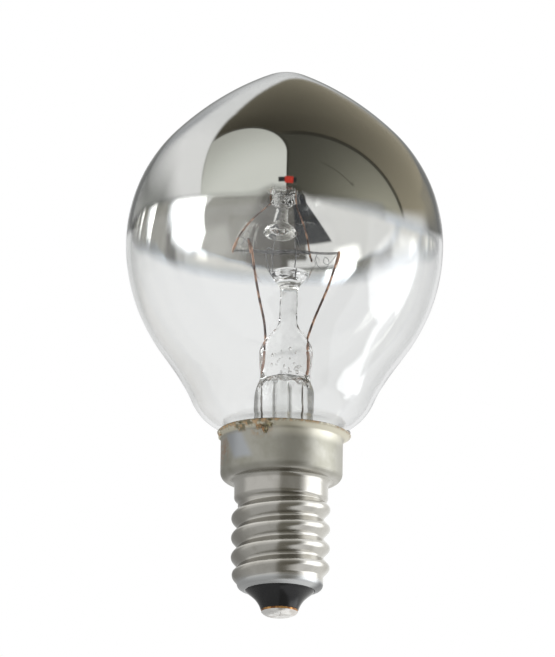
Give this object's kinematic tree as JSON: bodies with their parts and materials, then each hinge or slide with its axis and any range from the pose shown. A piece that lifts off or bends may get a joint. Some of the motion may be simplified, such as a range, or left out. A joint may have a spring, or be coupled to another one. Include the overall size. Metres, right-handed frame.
{
  "type": "mirror top bulb",
  "caption": "Small clear globe lamp with a silvered, pointed crown that throws the light back from its filament, on a narrow nickelled screw cap with a black glass nose.",
  "frame": {"origin": "lowest point of the centre contact, on the lamp's axis", "axes": "+Z along the lamp's axis, from the centre contact to the crown; -Y towards the viewer of the picture and +X to the right in it"},
  "size_m": [0.045, 0.045, 0.0792],
  "materials": {
    "clear_glass": "clear blown glass",
    "mirror_film": "vacuum-coated mirror film",
    "stem_glass": "clear drawn and pressed glass",
    "lead_wire": "coppered wire, browned by heat",
    "seal_copper": "copper-clad wire, red under the glass",
    "copper_wire": "plain copper wire",
    "tungsten": "drawn wire, dull grey",
    "nickel_shell": "satin nickel plating, stained at the lip",
    "black_glass": "glossy black glass",
    "eyelet_brass": "dull brass",
    "solder": "bright tin solder",
    "cement": "baked brown capping cement"
  },
  "bodies": {
    "root": {"glass_envelope": "clear_glass", "crown_mirror": "mirror_film", "stem_flare": "stem_glass", "exhaust_tube": "stem_glass", "support_rod": "stem_glass", "inner_lead_left": "lead_wire", "inner_lead_right": "lead_wire", "seal_wire_left": "seal_copper", "seal_wire_right": "seal_copper", "outer_lead_contact": "copper_wire", "outer_lead_shell": "copper_wire", "support_hook_left": "tungsten", "support_hook_right": "tungsten", "filament": "tungsten", "cap_shell": "nickel_shell", "cap_insulator": "black_glass", "centre_contact": "eyelet_brass", "contact_solder": "solder", "base_cement": "cement", "side_solder": "solder"}
  },
  "joints": []
}
